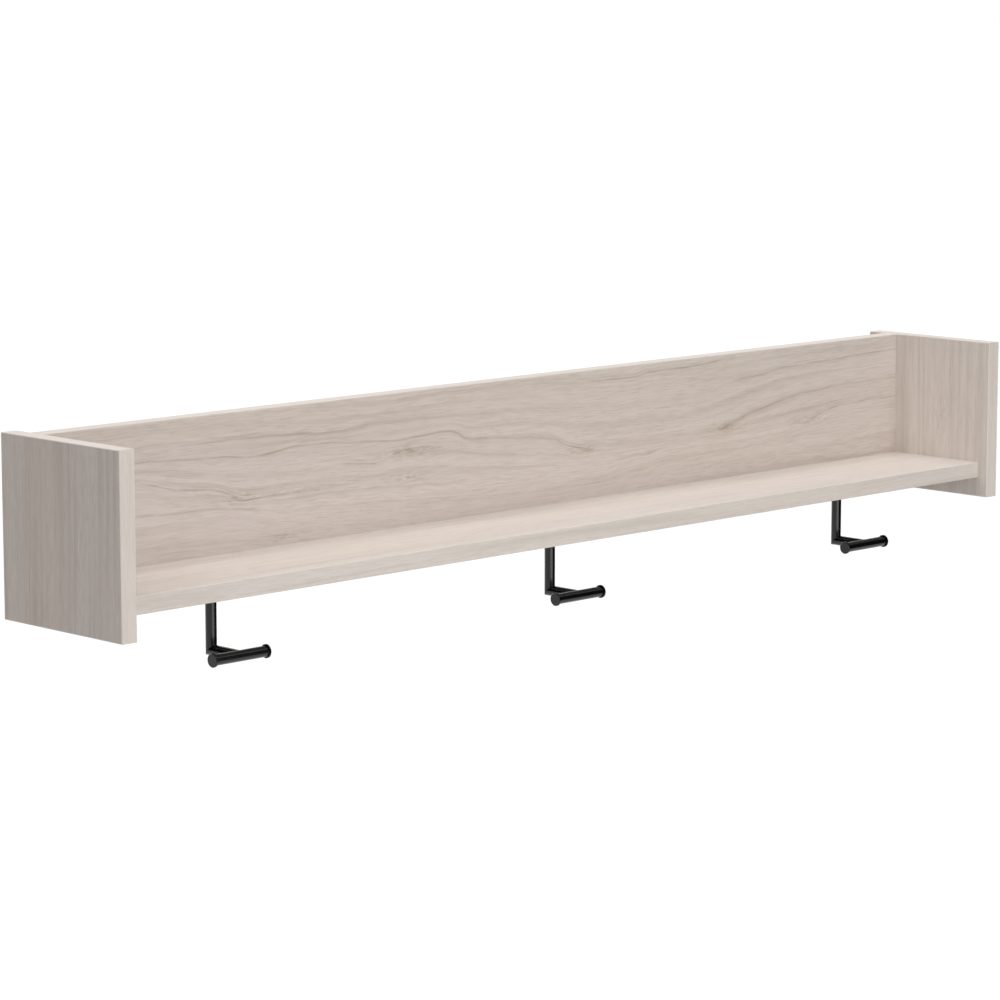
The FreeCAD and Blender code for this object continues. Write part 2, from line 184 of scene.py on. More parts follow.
# Noises of the decor: cells per metre along, across and through the board, step of the seed,
# detail and roughness
NOISES = {
    "wave": ((1.7, 6.0, 6.0), 0.0, 2.0, 0.5),
    "ripple": ((12.0, 30.0, 30.0), 3.1, 1.0, 0.5),
    "uneven": ((0.8, 42.0, 42.0), 7.7, 2.0, 0.5),
    "wide": ((3.0, 34.0, 34.0), 11.3, 3.0, 0.6),
    "narrow": ((5.0, 70.0, 70.0), 13.9, 3.0, 0.6),
    "fibre": ((46.0, 860.0, 860.0), 17.9, 4.0, 0.62),
    "streak": ((4.5, 170.0, 170.0), 23.1, 4.0, 0.6),
    "pore": ((80.0, 1300.0, 1300.0), 29.9, 1.0, 0.5),
    "tone": ((1.6, 11.0, 11.0), 31.7, 2.0, 0.5),
    "band": ((0.9, 38.0, 38.0), 37.1, 2.0, 0.5),
}
RIPPLE_SWAY = 0.0016
UNEVEN_SWAY = 0.030
RING_SPACING, RING_SHARE = 0.0115, 0.40
HAIR_SPACING, HAIR_SHARE = 0.0037, 0.22
LOOSE_SEED = 0.5


def growth_lines(tree, value, spacing):
    """Thin dark lines a spacing apart, each with a soft side and a sharp side."""
    step = tree.math("FRACT", tree.mul(value, 1 / spacing))
    soft = tree.span(step, 0.0, 0.82, smooth=True)
    sharp = tree.span(step, 0.86, 0.97, 1.0, 0.0)
    return tree.mul(tree.math("POWER", soft, 3.0), sharp)


def decor(
    name, grain, seed, figure, rings=1.0, sway=0.020, lift=0.0, bold=1.0, stripes_and_shade=None, hue=0.75,
    shade=0.10, warmth=0.0,
):
    """Matt printed wood decor with its grain along one axis.

    Figure gives the course of the grain, its marks, and where fine fibres leave that course.
    Rings, bold and sway say how strong growth lines, streaks and waves are, and lift how pale it is.
    Stripes are (distance across in metres, share) points of tonal stripes, and on the right end panel also of
    painted shade towards the rear, where the back panel shades it. Hue and shade say how brown and dark they
    are, and warmth makes the whole piece browner.
    """
    material, tree = new_material(name)
    x, y, z = place(tree)
    along, depth, straight = {"X": (x, y, z), "Y": (y, x, z), "Z": (z, x, y)}[grain]
    across, line, knot_shade, loose = figure(tree, x, y, z)

    def noise(kind, parts, extra=0.0):
        scales, step, detail, roughness = NOISES[kind]
        return tree.noise(tree.scaled(parts, scales, seed + step + extra), detail, roughness)

    even = (along, across, depth)
    wave, ripple = noise("wave", even), noise("ripple", even)
    drift = tree.add(tree.mul(tree.take(wave, 0.5), sway), tree.mul(tree.take(ripple, 0.5), RIPPLE_SWAY))
    moved = tree.add(across, drift)
    followed = (along, moved, depth)

    def fine(kind):
        """Noise that follows the figure, or runs straight where the figure's lines spread or crowd."""
        bound = noise(kind, followed)
        if loose is None:
            return bound
        free = noise(kind, (along, tree.add(straight, drift), depth), LOOSE_SEED)
        return tree.add(bound, tree.mul(tree.take(free, bound), loose))

    def lines(spacing, kind, none, full):
        return tree.mul(growth_lines(tree, course, spacing), tree.span(noise(kind, followed), none, full))

    course = tree.add(moved, tree.mul(noise("uneven", followed), UNEVEN_SWAY))
    ring = lines(RING_SPACING, "wide", 0.44, 0.66)
    hair = lines(HAIR_SPACING, "narrow", 0.46, 0.62)
    fibre, streak, pore = fine("fibre"), fine("streak"), fine("pore")
    tone, band = noise("tone", followed), noise("band", followed)

    warm = tree.add(tree.span(tone, 0.36, 0.64), warmth)
    if stripes_and_shade:
        low, high = stripes_and_shade[0][0], stripes_and_shade[-1][0]
        points = [((at - low) / (high - low), share) for at, share in stripes_and_shade]
        stripe_and_shade = tree.curve(tree.span(moved, low, high), points)
        warm = tree.add(tree.mul(warm, 0.25), tree.mul(stripe_and_shade, hue))
    colour = tree.mix(warm, DECOR_COOL, DECOR_WARM)
    colour = tree.mix(0.25 if stripes_and_shade else 0.45, colour, DECOR)
    # Darker where the stripes are: tonal stripes, and on the right end panel also painted shade towards the
    # rear
    if stripes_and_shade:
        colour = tree.mix(tree.mul(stripe_and_shade, shade), colour, DECOR_LINE_AND_SHADE)
    # Each layer starts at one value of its noise and is full at another.
    for source, none, full, share, layer in (
        (band, 0.38, 0.68, 0.38 * bold, DECOR_PALE),
        (streak, 0.50, 0.72, 0.15 * bold, DECOR_LINE_AND_SHADE),
        (streak, 0.48, 0.30, 0.21 * bold, DECOR_PALE),
        (fibre, 0.46, 0.70, 0.38, DECOR_LINE_AND_SHADE),
        (fibre, 0.44, 0.28, 0.30, DECOR_PALE),
        (pore, 0.60, 0.70, 0.22, DECOR_LINE_AND_SHADE),
    ):
        colour = tree.mix(tree.span(source, none, full, 0.0, share), colour, layer)
    colour = tree.mix(tree.mul(ring, RING_SHARE * rings), colour, DECOR_LINE_AND_SHADE)
    colour = tree.mix(tree.mul(hair, HAIR_SHARE * rings), colour, DECOR_LINE_AND_SHADE)
    for mark, share, layer in ((line, 0.68, MARK_LINE), (knot_shade, 0.56, MARK_KNOT)):
        if mark is not None:
            colour = tree.mix(tree.math("MINIMUM", tree.mul(mark, share), 1.0), colour, layer)
    colour = tree.mix(lift, colour, DECOR_LIFTED)

    height = tree.add(
        tree.mul(fibre, -0.5), tree.mul(tree.span(pore, 0.58, 0.72), -0.4), tree.mul(streak, -0.3)
    )
    rough = tree.add(0.50, tree.mul(fibre, 0.12), tree.mul(ring, 0.06))
    return material, tree, colour, height, rough


# Figure of the back panel: growth lines as (X, Z) points in millimetres and as (X, darkness),
# lowest first. Between two of them the grain follows both.
LINES = [
    (-50, [(-566, -50), (566, -50)], [(-566, 0), (566, 0)]),
    (
        -8,
        [(-566, 13), (-465, 11), (-428, 9), (-394, 8), (-350, 5), (-300, -4), (-220, -9), (-100, -16),
         (0, -20), (66, -20), (112, -19), (172, -14), (215, -9), (300, -9), (420, -7), (566, -3)],
        [(-566, 0.5), (-465, 0.6), (-400, 0.6), (-340, 0.5), (-300, 0.1), (0, 0.1), (66, 0.3),
         (150, 0.45), (215, 0.3), (260, 0.1), (420, 0.15), (566, 0.1)],
    ),
    (
        12,
        [(-566, 41), (-465, 39), (-449, 36), (-433, 31), (-403, 27), (-379, 24), (-367, 21), (-356, 15),
         (-333, 12), (-284, 13), (-196, 12), (-100, 6), (0, 0), (88, -2), (130, -1.5), (153, 0.3), (167, 2.5),
         (180, 2), (200, 4.5), (220, 6), (299, 8), (419, 12), (443, 17), (460, 22), (487, 24.3), (520, 26),
         (540, 25.3), (566, 26)],
        [(-566, 0.3), (-465, 0.5), (-440, 0.8), (-370, 0.8), (-350, 0.8), (-310, 0.55), (-240, 0.45),
         (-180, 0.1), (0, 0.05), (110, 0.1), (135, 0.6), (180, 0.75), (200, 0.4), (225, 0.2), (400, 0.1),
         (420, 0.7), (450, 0.8), (487, 1.0), (520, 0.8), (566, 0.7)],
    ),
    (
        30,
        [(-566, 52), (-465, 48), (-400, 41), (-356, 33), (-300, 32), (-222, 32), (-184, 29), (-171, 34),
         (-148, 37), (-124, 38), (-80, 31), (-36, 25), (25, 18), (62, 12), (100, 8), (180, 8), (285, 12),
         (349, 20), (443, 28), (566, 35)],
        [(-566, 0.1), (-240, 0.05), (-222, 0.5), (-205, 0.9), (-188, 0.9), (-181, 0.2), (-165, 0.2),
         (-155, 0.8), (-135, 0.7), (-115, 0.5), (-80, 0.1), (300, 0.1), (400, 0.35), (566, 0.2)],
    ),
    (
        42,
        [(-566, 62), (-465, 57), (-372, 53), (-334, 50), (-308, 51), (-277, 54), (-246, 54), (-209, 50),
         (-158, 48), (-127, 49), (-95, 50), (-80, 47), (-67, 40), (-50, 38.5), (-36, 38), (0, 35.5), (25, 33),
         (49, 29), (62, 23), (75, 19), (88, 16), (120, 13), (178, 12.5), (240, 14), (285, 16), (299, 18),
         (310, 20), (327, 27), (337, 30.3), (353, 32), (370, 35.3), (387, 38), (420, 42), (453, 43.7),
         (500, 45.3), (566, 46)],
        [(-566, 0.4), (-465, 0.6), (-372, 0.8), (-334, 1.0), (-300, 0.8), (-277, 0.7), (-209, 0.6),
         (-158, 0.7), (-127, 0.8), (-95, 0.7), (-67, 0.8), (-36, 0.6), (25, 0.65), (62, 0.8), (88, 1.0),
         (105, 0.3), (140, 0.08), (270, 0.08), (295, 0.8), (310, 1.0), (349, 1.0), (396, 0.85), (443, 0.5),
         (530, 0.45), (566, 0.4)],
    ),
    (
        66,
        [(-566, 69), (-465, 68), (-387, 67), (-327, 67), (-287, 65.5), (-270, 64), (-253, 63), (-237, 63.3),
         (-210, 64.5), (-183, 66.5), (-100, 66), (0, 62), (100, 56), (200, 52), (260, 55), (300, 62),
         (313, 64.3), (337, 66), (370, 69.3), (413, 72), (453, 73), (487, 74.3), (540, 76.3), (566, 77)],
        [(-566, 0.1), (-400, 0.3), (-387, 0.6), (-334, 0.6), (-296, 0.65), (-271, 0.95), (-222, 0.85),
         (-184, 0.5), (-140, 0.1), (0, 0.05), (150, 0.05), (290, 0.1), (310, 0.4), (337, 0.7), (400, 0.5),
         (453, 0.7), (500, 0.75), (566, 0.6)],
    ),
    (
        82,
        [(-566, 81), (-400, 81), (-200, 80), (-100, 82), (20, 84.3), (63, 82), (113, 80.3), (163, 79.7),
         (180, 82), (207, 83), (253, 83.7), (287, 86), (313, 87.3), (353, 88.2), (450, 88.6), (566, 89)],
        [(-566, 0.1), (-300, 0.15), (-100, 0.1), (0, 0.3), (63, 0.35), (113, 0.6), (160, 0.75), (207, 0.85),
         (253, 0.9), (290, 0.7), (330, 0.35), (400, 0.15), (566, 0.1)],
    ),
    (92, [(-566, 92), (566, 92)], [(-566, 0), (566, 0)]),
]
# Knots as place along and up, half length, half height and darkness, in millimetres
BACK_KNOTS = [
    (-353, 14, 24, 6, 0.9),
    (-255, 13, 62, 4, 0.45),
    (-140, 35.5, 34, 5, 1.0),
    (-142, 12, 28, 5, 0.75),
    (-298, -26, 20, 6, 0.7),
    (90, 15, 20, 4, 1.0),
    (178, 4, 11, 4, 0.7),
    (195, 28, 26, 5, 0.3),
    (299, 17.5, 24, 6, 0.95),
    (322, 64, 10, 3, 0.5),
    (432, 14, 34, 6, 0.7),
]

# Half length of the back panel, and the lowest height and the range of its lines, in millimetres
HALF_LENGTH = 566.5
LOW, TALL = -50.0, 142.0
# Growth lines: how far they wander, their width, the width of the soft shade beside them, and the
# distance and width of their twins, in metres
WANDER = 0.0035
LINE_WIDTH = (0.0004, 0.0010)
BESIDE_WIDTH = 0.0030
TWIN_GAP, TWIN_WIDTH = (0.0022, 0.0040), 0.0008


def knots_of(tree, along, up, knots, seed):
    """Shade of the knots, as clusters of fine dashes, and how far each pushes the grain aside."""
    shade, push = 0.0, 0.0
    dashes = tree.noise(tree.vector(tree.mul(along, 110.0), tree.mul(up, 820.0), seed), 3.0, 0.6)
    for x, z, half_length, half_height, dark in knots:
        off_x = tree.math("DIVIDE", tree.take(along, x * MM), half_length * MM)
        off_z = tree.math("DIVIDE", tree.take(up, z * MM), half_height * MM)
        far = tree.add(tree.mul(off_x, off_x), tree.mul(off_z, off_z))
        near = tree.math("EXPONENT", tree.mul(far, -1.0))
        core = tree.math("EXPONENT", tree.mul(far, -9.0))
        patch = tree.add(tree.mul(near, tree.span(dashes, 0.51, 0.58, 0.0, 1.1)), tree.mul(core, 0.22))
        shade = tree.add(shade, tree.mul(patch, dark))
        side = tree.math("DIVIDE", off_z, tree.add(1.0, far))
        push = tree.add(push, tree.mul(tree.mul(near, side), half_height * 0.8 * MM))
    return shade, push


def back_figure(tree, x, y, z):
    """Figure of the back panel, whose grain follows LINES and goes round BACK_KNOTS."""
    share = tree.span(x, -HALF_LENGTH * MM, HALF_LENGTH * MM)
    shade, push = knots_of(tree, x, z, BACK_KNOTS, 4.4)
    wander = tree.noise(tree.vector(tree.mul(x, 26.0), tree.mul(z, 45.0), 0.7), 1.0)
    height = tree.add(z, tree.mul(push, -1.0), tree.mul(tree.take(wander, 0.5), WANDER))

    def curve(points, low, tall):
        table = [((px + HALF_LENGTH) / (2 * HALF_LENGTH), (pz - low) / tall) for px, pz in points]
        return tree.curve(share, [(min(max(px, 0.0), 1.0), pz) for px, pz in table])

    lines = []
    for level, points, strengths in LINES:
        line = tree.add(tree.mul(curve(points, LOW, TALL), TALL * MM), LOW * MM)
        lines.append((level, line, curve(strengths, 0.0, 1.0)))
    even = LINES[0][0] * MM
    loose = 0.0
    for (low_level, low_line, _), (high_level, high_line, _) in zip(lines, lines[1:]):
        gap = tree.take(high_line, low_line)
        share_up = tree.math("DIVIDE", tree.take(height, low_line), gap, clamp=True)
        even = tree.add(even, tree.mul(share_up, (high_level - low_level) * MM))
        stretch = tree.mul(gap, 1 / ((high_level - low_level) * MM))
        odd = tree.math("MAXIMUM", tree.span(stretch, 1.1, 1.6), tree.span(stretch, 0.80, 0.50))
        inside = tree.mul(tree.span(share_up, 0.0, 0.12), tree.span(share_up, 1.0, 0.88))
        loose = tree.add(loose, tree.mul(odd, inside))

    broken = tree.noise(tree.vector(tree.mul(x, 40.0), tree.mul(z, 260.0), 2.2), 4.0, 0.65)
    line_width = tree.span(broken, 0.3, 0.7, *LINE_WIDTH)
    line_share = tree.span(broken, 0.38, 0.58, 0.32, 1.0)
    twin_gap = tree.span(wander, 0.3, 0.7, *TWIN_GAP)
    twin_share = tree.span(broken, 0.4, 0.6, 0.15, 0.6)
    dark = 0.0
    for level, line, strength in lines[1:-1]:
        off = tree.take(height, line)
        crisp = tree.bell(tree.math("DIVIDE", off, line_width))
        beside = tree.math("EXPONENT", tree.mul(tree.math("ABSOLUTE", off), -1 / BESIDE_WIDTH))
        twin = tree.bell(tree.mul(tree.take(off, twin_gap), 1 / TWIN_WIDTH))
        shown = tree.noise(tree.vector(tree.mul(x, 14.0), 0.41 * level, 5.5), 2.0)
        twin = tree.mul(tree.mul(twin, tree.span(shown, 0.46, 0.58)), twin_share)
        both = tree.add(tree.mul(crisp, line_share), tree.mul(beside, 0.14), twin)
        dark = tree.add(dark, tree.mul(both, strength))
    return even, dark, shade, loose


# The rear edge of a board on the wall plane is bare from this distance on.
BARE_FROM_Y = -0.0001


def chip_edge(tree, colour):
    """Raw chipboard on the rear edge of a board that ends at Y = 0, and the colour elsewhere."""
    spot = tree.node("ShaderNodeTexCoord").outputs["Object"]
    inputs = {"Vector": spot, "Scale": 420.0, "Randomness": 1.0}
    chips = tree.node("ShaderNodeTexVoronoi", inputs, feature="F1")
    tint = tree.node("ShaderNodeSeparateColor", {"Color": chips.outputs["Color"]}).outputs[0]
    chip = tree.mix(tint, rgb(0.50, 0.36, 0.21), rgb(0.70, 0.56, 0.38))
    x, y, z = place(tree)
    fine = tree.noise(tree.scaled((x, y, z), (900.0, 900.0, 900.0), 2.0), 3.0)
    chip = tree.mix(tree.span(fine, 0.42, 0.66, 0.0, 0.6), chip, rgb(0.30, 0.20, 0.11))
    return tree.mix(tree.math("GREATER_THAN", y, BARE_FROM_Y), colour, chip)


def board_material(name, grain, seed, knots=(), raw_rear=False, figure=None, **course):
    """Decor of one board or band, with a plain straight grain round its knots if no figure is given."""

    def plain(tree, x, y, z):
        along, across = {"X": (x, z), "Z": (z, y), "Y": (y, z)}[grain]
        if not knots:
            return across, None, None, None
        shade, push = knots_of(tree, along, across, knots, seed)
        return tree.add(across, tree.mul(push, -1.0)), None, shade, None

    material, tree, colour, height, rough = decor(name, grain, seed, figure or plain, **course)
    if raw_rear:
        colour = chip_edge(tree, colour)
    finish_material(tree, height, 0.00005, 0.6, Base_Color=colour, Roughness=rough, Specular_IOR_Level=0.35)
    return material


# ---------------------------------------------------------------- other materials


def rail_material():
    """Bare planed spruce, with growth rings and resin streaks along X."""
    material, tree = new_material("rail_spruce")
    x, y, z = place(tree)
    wave = tree.noise(tree.scaled((x, z, y), (1.4, 9.0, 9.0), 1.0), 2.0)
    moved = tree.add(z, tree.mul(tree.math("SUBTRACT", wave, 0.5), 0.02))
    rings = tree.math("FRACT", tree.mul(tree.add(moved, tree.mul(y, 0.6)), 330.0))
    late = tree.span(rings, 0.45, 0.95, smooth=True)
    fibre = tree.noise(tree.scaled((x, moved, y), (20.0, 1100.0, 1100.0), 5.0), 3.0, 0.6)
    tone = tree.noise(tree.scaled((x, z, y), (3.0, 20.0, 20.0), 8.0), 2.0)
    colour = tree.mix(tree.span(tone, 0.35, 0.65), rgb(0.70, 0.53, 0.33), rgb(0.76, 0.61, 0.42))
    colour = tree.mix(tree.mul(late, 0.45), colour, rgb(0.50, 0.30, 0.14))
    colour = tree.mix(tree.span(fibre, 0.45, 0.75, 0.0, 0.35), colour, rgb(0.45, 0.29, 0.15))
    height = tree.add(tree.mul(late, 0.4), tree.mul(fibre, -0.6))
    rough = tree.add(0.58, tree.mul(fibre, 0.15))
    finish_material(tree, height, 0.0001, 0.6, Base_Color=colour, Roughness=rough, Specular_IOR_Level=0.3)
    return material


def dowel_material():
    """Bare beech with short dark flecks along X."""
    material, tree = new_material("dowel_beech_wood")
    x, y, z = place(tree)
    fleck = tree.noise(tree.scaled((x, z, y), (260.0, 1900.0, 1900.0), 2.0), 2.0)
    tone = tree.noise(tree.scaled((x, z, y), (30.0, 300.0, 300.0), 4.0), 2.0)
    colour = tree.mix(tree.span(tone, 0.35, 0.65), rgb(0.66, 0.46, 0.28), rgb(0.74, 0.56, 0.37))
    colour = tree.mix(tree.span(fleck, 0.6, 0.75, 0.0, 0.6), colour, rgb(0.40, 0.24, 0.12))
    rough = tree.add(0.5, tree.mul(fleck, 0.2))
    finish_material(tree, fleck, 0.0001, 0.4, Base_Color=colour, Roughness=rough)
    return material


def paint_material(name, scale):
    """Satin black powder coat: a fine orange peel, and a little dust in the roughness."""
    material, tree = new_material(name)
    parts = place(tree)
    peel = tree.noise(tree.scaled(parts, (scale,) * 3, 1.0), 2.0, 0.5)
    dust = tree.noise(tree.scaled(parts, (90.0, 90.0, 90.0), 6.0), 3.0, 0.6)
    colour = tree.mix(tree.span(dust, 0.35, 0.7), rgb(0.0018, 0.0018, 0.0019), rgb(0.0036, 0.0036, 0.0038))
    rough = tree.add(0.12, tree.mul(dust, 0.08), tree.mul(peel, 0.04))
    finish_material(tree, peel, 0.00004, 0.4, Base_Color=colour, Roughness=rough, Specular_IOR_Level=0.43)
    return material


def zinc_material():
    """Bright zinc on a screw, with turning marks round its axis and a faint yellow bloom."""
    material, tree = new_material("screw_zinc")
    x, y, z = place(tree)
    radius = tree.math("SQRT", tree.add(tree.mul(x, x), tree.mul(y, y)))
    turned = tree.noise(tree.vector(tree.mul(radius, 6000.0), 0.0, tree.mul(z, 2500.0)), 2.0)
    bloom = tree.noise(tree.scaled((x, y, z), (400.0, 400.0, 400.0), 3.0), 3.0)
    colour = tree.mix(tree.span(bloom, 0.4, 0.7), rgb(0.62, 0.63, 0.64), rgb(0.60, 0.57, 0.48))
    rough = tree.add(0.24, tree.mul(turned, 0.18), tree.mul(bloom, 0.08))
    finish_material(tree, turned, 0.00003, 0.4, Base_Color=colour, Roughness=rough, Metallic=1.0)
    return material


# ---------------------------------------------------------------- CAD nodes get their finish


def dress(name, material):
    for material_slot in nodes[name].material_slots:
        material_slot.material = material


# Stripes of the end panels from front to rear, and the knot on the right one. The high shares towards the
# rear of the right one are painted shade where the back panel shades its inner face.
LEFT_STRIPES = [
    (-0.160, 0.08), (-0.130, 0.02), (-0.112, 0.15), (-0.098, 0.10), (-0.089, 0.05), (-0.083, 0.75),
    (-0.060, 0.95), (-0.034, 0.80), (-0.027, 0.25), (-0.009, 0.10), (0.0, 0.50),
]
# Right panel: tonal stripes towards the front, and painted shade that darkens it towards the rear
RIGHT_STRIPES_AND_SHADE = [
    (-0.160, 0.30), (-0.142, 0.10), (-0.120, 0.35), (-0.104, 0.25), (-0.085, 0.15), (-0.076, 0.60),
    (-0.066, 0.45), (-0.060, 0.90), (-0.040, 1.0), (0.0, 1.0),
]
PANEL_KNOT = [(8, -98, 22, 8, 0.9)]

BOARDS = {
    "back_panel": {
        "name": "decor_back", "grain": "X", "seed": 1.3, "figure": back_figure, "rings": 0.8, "sway": 0.010,
    },
    "shelf_board": {"name": "decor_shelf", "grain": "X", "seed": 12.6, "lift": 0.20, "bold": 1.3},
    "left_end_panel": {
        "name": "decor_left", "grain": "Z", "seed": 31.0, "raw_rear": True,
        "stripes_and_shade": LEFT_STRIPES, "lift": 0.06, "shade": 0.20,
    },
    # On the right end panel, the stripes and shade also paint shade towards the rear, where the back panel
    # shades it
    "right_end_panel": {
        "name": "decor_right", "grain": "Z", "seed": 47.5, "raw_rear": True, "knots": PANEL_KNOT,
        "stripes_and_shade": RIGHT_STRIPES_AND_SHADE, "lift": 0.20, "shade": 0.38, "hue": 0.2, "bold": 2.1, "warmth": 0.3,
    },
}
for name, finish in BOARDS.items():
    dress(name, board_material(**finish))

# Edge bands that share a material, with the axis of their grain. The one on the shelf is darker.
BANDS = [
    ("Z", ["left_end_front_band"]),
    ("Z", ["right_end_front_band"]),
    ("Y", ["left_end_top_band", "left_end_bottom_band"]),
    ("Y", ["right_end_top_band", "right_end_bottom_band"]),
    ("X", ["shelf_front_band"]),
    ("X", ["back_top_band", "back_bottom_band"]),
]
BAND_SEED, BAND_SEED_STEP = 60.0, 7.3
for number, (grain, names) in enumerate(BANDS):
    lift, warmth = (0.32, 0.6) if "shelf_front_band" in names else (0.42, 0.2)
    seed = BAND_SEED + BAND_SEED_STEP * number
    band = board_material(
        f"decor_band_{number + 1}", grain, seed, rings=1.4, bold=1.5, lift=lift, warmth=warmth
    )
    for name in names:
        dress(name, band)

for name in ("wall_rail", "hanging_rail"):
    dress(name, rail_material())
dress("end_dowels", dowel_material())
paint = paint_material("hook_powder_coat", 1500.0)
HOOKS = ("left_hook", "centre_hook", "right_hook")
for hook in HOOKS:
    for part in ("plate", "stem", "arm", "crossbar", "left_cap", "right_cap"):
        dress(f"{hook}_{part}", paint)

# ---------------------------------------------------------------- screws and welds


def mesh_object(name, mesh, material, spot=(0, 0, 0), turn=None):
    """Object of that mesh at a spot, turned by a matrix."""
    made = bpy.data.objects.new(name, mesh)
    bpy.context.scene.collection.objects.link(made)
    if not mesh.materials:
        mesh.materials.append(material)
    made.matrix_world = Matrix.Translation(spot) @ (turn or Matrix.Identity(4))
    return made


def lathe(name, profile, segments=48, wobble=None):
    """Closed surface round the Z axis from (radius, height) pairs in millimetres.

    The pairs start and end on the axis, or else close to a ring.
    """
    work = bmesh.new()
    rows = []
    for index, (radius, height) in enumerate(profile):
        if radius == 0:
            rows.append([work.verts.new((0, 0, height * MM))])
            continue
        ring = []
        for step in range(segments):
            angle = 2 * math.pi * step / segments
            grown = radius * MM * (1 + (wobble(index, angle) if wobble else 0))
            ring.append(work.verts.new((grown * math.cos(angle), grown * math.sin(angle), height * MM)))
        rows.append(ring)
    for low, high in zip(rows, rows[1:]):
        for step in range(segments):
            after = (step + 1) % segments
            corners = [
                low[step % len(low)], low[after % len(low)], high[after % len(high)], high[step % len(high)]
            ]
            unique = list(dict.fromkeys(corners))
            if len(unique) > 2:
                work.faces.new(unique)
    if len(rows[0]) > 1 and len(rows[-1]) > 1:
        for step in range(segments):
            after = (step + 1) % segments
            work.faces.new([rows[-1][step], rows[-1][after], rows[0][after], rows[0][step]])
    bmesh.ops.recalc_face_normals(work, faces=work.faces)
    mesh = bpy.data.meshes.new(name)
    work.to_mesh(mesh)
    work.free()
    for polygon in mesh.polygons:
        polygon.use_smooth = True
    return mesh


RECESS_TAPER = 0.55


def with_cross(mesh, span, width, depth, top):
    """The mesh with a tapered cross recess cut down from the height top."""
    work = bmesh.new()
    for turn in (0.0, math.pi / 2):
        made = bmesh.ops.create_cube(work, size=1.0)["verts"]
        for vert in made:
            taper = 1.0 if vert.co.z > 0 else RECESS_TAPER
            x, y, z = vert.co
            vert.co = Vector((x * span * taper, y * width * taper, z * 2 * depth + top))
        bmesh.ops.rotate(work, verts=made, cent=(0, 0, 0), matrix=Matrix.Rotation(turn, 3, "Z"))
    cutter_mesh = bpy.data.meshes.new("cross_cutter")
    work.to_mesh(cutter_mesh)
    work.free()
    cutter = mesh_object("cross_cutter", cutter_mesh, None)
    body = mesh_object("cross_body", mesh, None)
    cut = body.modifiers.new("cross", "BOOLEAN")
    cut.operation, cut.object, cut.solver = "DIFFERENCE", cutter, "EXACT"
    cut.use_self = True
    bpy.context.view_layer.update()
    done = bpy.data.meshes.new_from_object(body.evaluated_get(bpy.context.evaluated_depsgraph_get()))
    for spare in (cutter, body):
        bpy.data.objects.remove(spare)
    done.materials.clear()
    return done


SHARP_ANGLE = 0.6


def soft_edges(piece, width):
    """Small roundings on the sharp edges of a piece, with clean shading over its flat faces."""
    round_off = piece.modifiers.new("round", "BEVEL")
    round_off.width, round_off.segments, round_off.limit_method = width, 2, "ANGLE"
    round_off.angle_limit = SHARP_ANGLE
    round_off.use_clamp_overlap = True
    weighted = piece.modifiers.new("weighted", "WEIGHTED_NORMAL")
    weighted.keep_sharp = False
    weighted.weight = 100


# Screws as (radius, height) in millimetres, from the top of the head down to the end of the shank.
# Height 0 is the face that they are driven into. A recess is the span, width and depth of the cross.
PAN_TOP, PAN_RADIUS, PAN_SHANK, PAN_END = 2.1, 3.5, 1.75, -2.9
PAN_PROFILE = [
    (0, PAN_TOP), (1.2, 2.06), (2.2, 1.9), (2.9, 1.55), (3.3, 1.05), (PAN_RADIUS, 0.45),
    (PAN_RADIUS, 0.0), (PAN_SHANK, 0.0), (PAN_SHANK, PAN_END), (0, PAN_END),
]
PAN_RECESS, PAN_ROUNDING = (3.6, 0.95, 1.3), 0.12
SINK_TOP, SINK_RADIUS, SINK_SHANK, SINK_END = -0.1, 3.85, 2.0, -15.9
SINK_PROFILE = [
    (0, SINK_TOP), (SINK_RADIUS - 0.15, SINK_TOP), (SINK_RADIUS, -0.2), (SINK_SHANK, -2.0),
    (SINK_SHANK, SINK_END), (0, SINK_END),
]
SINK_RECESS, SINK_ROUNDING = (4.4, 1.1, 1.9), 0.08
pan_mesh = with_cross(
    lathe("pan_head", PAN_PROFILE), *(size * MM for size in PAN_RECESS), PAN_TOP * MM
)
sink_mesh = with_cross(
    lathe("sunk_head", SINK_PROFILE), *(size * MM for size in SINK_RECESS), SINK_TOP * MM
)
zinc = zinc_material()
screw_paint = paint_material("screw_black", 2600.0)

# Screws stand turned by a first angle and a step from one to the next, in radians.
PAN_TURN, PAN_TURN_STEP = 0.5, 1.1
SINK_TURN, SINK_TURN_STEP = 0.4, 0.9
PLATE_SCREW_OFFSET = 20 * MM
for hook in HOOKS:
    low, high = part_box(f"{hook}_plate")
    middle = (low + high) / 2
    for number, side in enumerate((-1, 1)):
        spot = (middle.x + side * PLATE_SCREW_OFFSET, middle.y, low.z)
        turn = PAN_TURN + PAN_TURN_STEP * number + middle.x
        down = Matrix.Rotation(math.pi, 4, "X") @ Matrix.Rotation(turn, 4, "Z")
        screw = mesh_object(f"{hook}_plate_screw_{number + 1}", pan_mesh, screw_paint, spot, down)
        soft_edges(screw, PAN_ROUNDING * MM)
        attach(screw, "root")


def sunk_row(name, rear_y, height, places):
    """Row of countersunk screws along X, driven forwards from the rear."""
    for number, x in enumerate(places):
        turn = SINK_TURN + SINK_TURN_STEP * number
        back = Matrix.Rotation(-math.pi / 2, 4, "X") @ Matrix.Rotation(turn, 4, "Z")
        screw = mesh_object(f"{name}_{number + 1}", sink_mesh, zinc, (x, rear_y, height), back)
        soft_edges(screw, SINK_ROUNDING * MM)
        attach(screw, "root")


